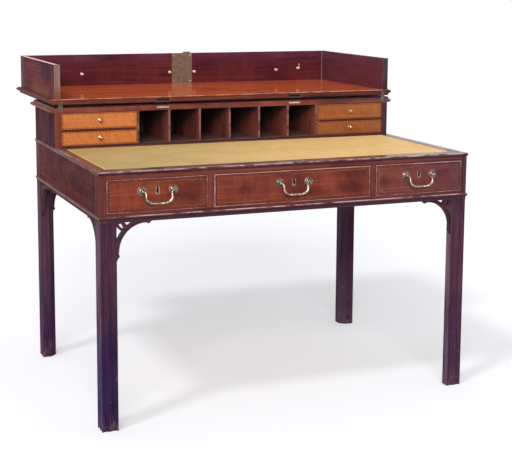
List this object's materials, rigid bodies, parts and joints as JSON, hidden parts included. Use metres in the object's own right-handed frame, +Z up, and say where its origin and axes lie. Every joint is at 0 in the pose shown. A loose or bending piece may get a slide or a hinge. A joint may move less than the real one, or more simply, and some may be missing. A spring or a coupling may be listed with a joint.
{
  "type": "enclosed writing table",
  "caption": "Writing table on moulded legs with pierced corner brackets, a leather top, a low back cabinet of drawers and pigeonholes, and a box lid that folds over it.",
  "frame": {"origin": "on the floor, under the centre of the table's whole extent with the lid folded back", "axes": "+X to the right of the person writing, +Y away from them, +Z up"},
  "size_m": [1.25, 1.1056, 1.054],
  "materials": {
    "mahogany": "french polished",
    "mahogany_dark": "french polished",
    "satinwood": "french polished",
    "oak": "bare",
    "brass": "polished",
    "leather": "satin"
  },
  "bodies": {
    "desk": {"leg_front_left": "mahogany_dark", "brackets_front_left": "mahogany_dark", "leg_front_right": "mahogany_dark", "brackets_front_right": "mahogany_dark", "leg_back_left": "mahogany_dark", "brackets_back_left": "mahogany_dark", "leg_back_right": "mahogany_dark", "brackets_back_right": "mahogany_dark", "frieze_side_left": "mahogany", "frieze_side_right": "mahogany", "frieze_back": "mahogany", "bottom_rail": "mahogany", "top_rail": "mahogany", "drawer_dividers": "mahogany", "drawer_runners": "oak", "bottom_bead": "mahogany", "top_bead": "mahogany", "writing_top": "mahogany", "writing_leather": "leather", "strike_plate": "brass", "cabinet_side_left": "mahogany", "cabinet_side_right": "mahogany", "cabinet_back": "mahogany", "cabinet_floor": "mahogany", "cabinet_partitions": "mahogany", "cabinet_top": "mahogany", "hinge_leaves_lower": "brass", "tenons": "brass"},
    "lid": {"lid_panel": "mahogany", "hinge_leaves_upper": "brass", "mortise_plates": "brass", "lid_wall_left": "mahogany", "lid_wall_right": "mahogany", "lid_wall_front": "mahogany", "lid_lock": "brass", "lid_studs": "brass"},
    "lid_bolt": {"lid_bolt": "brass"},
    "drawer_left": {"drawer_left_front": "mahogany", "drawer_left_box": "oak", "drawer_left_brasses": "brass"},
    "bail_left": {"drawer_left_bail": "brass"},
    "bolt_left": {"drawer_left_bolt": "brass"},
    "drawer_middle": {"drawer_middle_front": "mahogany", "drawer_middle_box": "oak", "drawer_middle_brasses": "brass"},
    "bail_middle": {"drawer_middle_bail": "brass"},
    "bolt_middle": {"drawer_middle_bolt": "brass"},
    "drawer_right": {"drawer_right_front": "mahogany", "drawer_right_box": "oak", "drawer_right_brasses": "brass"},
    "bail_right": {"drawer_right_bail": "brass"},
    "bolt_right": {"drawer_right_bolt": "brass"},
    "small_left_lower": {"small_left_lower": "satinwood", "small_left_lower_knob": "brass"},
    "small_left_upper": {"small_left_upper": "satinwood", "small_left_upper_knob": "brass"},
    "small_right_lower": {"small_right_lower": "satinwood", "small_right_lower_knob": "brass"},
    "small_right_upper": {"small_right_upper": "satinwood", "small_right_upper_knob": "brass"}
  },
  "joints": [
    {"name": "lid_hinge", "type": "hinge", "parent": "desk", "child": "lid", "pos_m": [0, 0.0073, 0.9125], "axis": [1, 0, 0], "range_deg": [0, 180]},
    {"name": "lid_bolt_slide", "type": "slide", "parent": "lid", "child": "lid_bolt", "axis": [0, 0, -1], "range_m": [0, 0.0055]},
    {"name": "drawer_left_slide", "type": "slide", "parent": "desk", "child": "drawer_left", "axis": [0, -1, 0], "range_m": [0, 0.4]},
    {"name": "bail_left_hinge", "type": "hinge", "parent": "drawer_left", "child": "bail_left", "pos_m": [-0.435, -0.5476, 0.7135], "axis": [-1, 0, 0], "range_deg": [0, 85]},
    {"name": "bolt_left_slide", "type": "slide", "parent": "drawer_left", "child": "bolt_left", "axis": [0, 0, 1], "range_m": [0, 0.006]},
    {"name": "drawer_middle_slide", "type": "slide", "parent": "desk", "child": "drawer_middle", "axis": [0, -1, 0], "range_m": [0, 0.4]},
    {"name": "bail_middle_hinge", "type": "hinge", "parent": "drawer_middle", "child": "bail_middle", "pos_m": [0, -0.5476, 0.7135], "axis": [-1, 0, 0], "range_deg": [0, 85]},
    {"name": "bolt_middle_slide", "type": "slide", "parent": "drawer_middle", "child": "bolt_middle", "axis": [0, 0, 1], "range_m": [0, 0.006]},
    {"name": "drawer_right_slide", "type": "slide", "parent": "desk", "child": "drawer_right", "axis": [0, -1, 0], "range_m": [0, 0.4]},
    {"name": "bail_right_hinge", "type": "hinge", "parent": "drawer_right", "child": "bail_right", "pos_m": [0.435, -0.5476, 0.7135], "axis": [-1, 0, 0], "range_deg": [0, 85]},
    {"name": "bolt_right_slide", "type": "slide", "parent": "drawer_right", "child": "bolt_right", "axis": [0, 0, 1], "range_m": [0, 0.006]},
    {"name": "small_left_lower_slide", "type": "slide", "parent": "desk", "child": "small_left_lower", "axis": [0, -1, 0], "range_m": [0, 0.15]},
    {"name": "small_left_upper_slide", "type": "slide", "parent": "desk", "child": "small_left_upper", "axis": [0, -1, 0], "range_m": [0, 0.15]},
    {"name": "small_right_lower_slide", "type": "slide", "parent": "desk", "child": "small_right_lower", "axis": [0, -1, 0], "range_m": [0, 0.15]},
    {"name": "small_right_upper_slide", "type": "slide", "parent": "desk", "child": "small_right_upper", "axis": [0, -1, 0], "range_m": [0, 0.15]}
  ]
}
